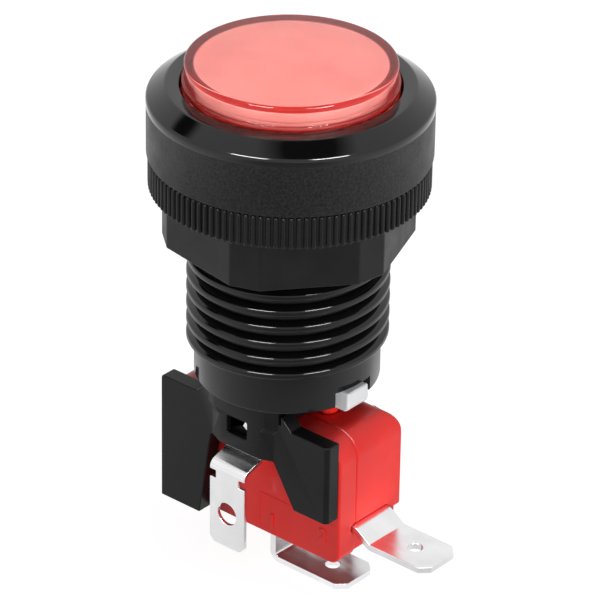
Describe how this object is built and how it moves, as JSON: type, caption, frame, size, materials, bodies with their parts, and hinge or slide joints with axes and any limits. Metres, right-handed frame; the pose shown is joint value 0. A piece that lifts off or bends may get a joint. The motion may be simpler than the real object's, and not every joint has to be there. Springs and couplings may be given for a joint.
{
  "type": "arcade push button",
  "caption": "Round illuminated push button with a red lens, a threaded black housing and panel nut, and a snap-action switch and lamp holder below.",
  "frame": {"origin": "on the button's axis, where the underside of the bezel meets the panel", "axes": "+Z out of the panel towards the finger, +X along the switch to its end terminal, -Y to the switch cover's side"},
  "size_m": [0.0394, 0.032, 0.063],
  "materials": {
    "black_plastic": "glossy black moulding",
    "black_satin": "satin black moulding",
    "red_lens": "clear red moulding",
    "milky_plastic": "milky light-spreading sheet",
    "white_plastic": "white moulding",
    "spring_steel": "drawn spring wire",
    "lamp_epoxy": "clear cast dome",
    "tinned_metal": "bright tin plate",
    "red_plastic": "satin red moulding",
    "contact_brass": "bright rolled strip"
  },
  "bodies": {
    "base": {"housing": "black_plastic", "switch_holder": "black_satin", "return_spring": "spring_steel", "lamp_base": "white_plastic", "led_dome": "lamp_epoxy", "lamp_lead_front": "tinned_metal", "lamp_lead_rear": "tinned_metal", "lamp_terminal_front": "tinned_metal", "lamp_terminal_rear": "tinned_metal", "switch_case": "red_plastic", "switch_cover": "red_plastic", "fixed_contact": "contact_brass", "no_terminal": "tinned_metal", "com_terminal": "tinned_metal"},
    "push_button": {"lens_cap": "red_lens", "diffuser_disc": "milky_plastic", "plunger": "white_plastic"},
    "switch_actuator": {"switch_button": "red_plastic"},
    "contact_arm": {"contact_blade": "contact_brass", "moving_contact": "contact_brass"},
    "clamp_nut": {"panel_nut": "black_plastic"}
  },
  "joints": [
    {"name": "button_press", "type": "slide", "parent": "base", "child": "push_button", "axis": [0, 0, -1], "range_m": [0, 0.002], "stiffness_N_per_m": 400, "springref_m": -0.001, "deforming": ["return_spring"]},
    {"name": "actuator_press", "type": "slide", "parent": "base", "child": "switch_actuator", "axis": [0, 0, -1], "range_m": [0, 0.002]},
    {"name": "contact_swing", "type": "hinge", "parent": "base", "child": "contact_arm", "pos_m": [-0.006, 0, -0.03754], "axis": [0, 1, 0], "range_deg": [0, 9.4]},
    {"name": "nut_travel", "type": "slide", "parent": "base", "child": "clamp_nut", "axis": [0, 0, -1], "range_m": [0, 0.0115]}
  ],
  "couplings": [
    {"joint": "actuator_press", "follows": "button_press", "ratio": 1},
    {"joint": "contact_swing", "follows": "button_press", "rad_per_m": 81.24}
  ]
}
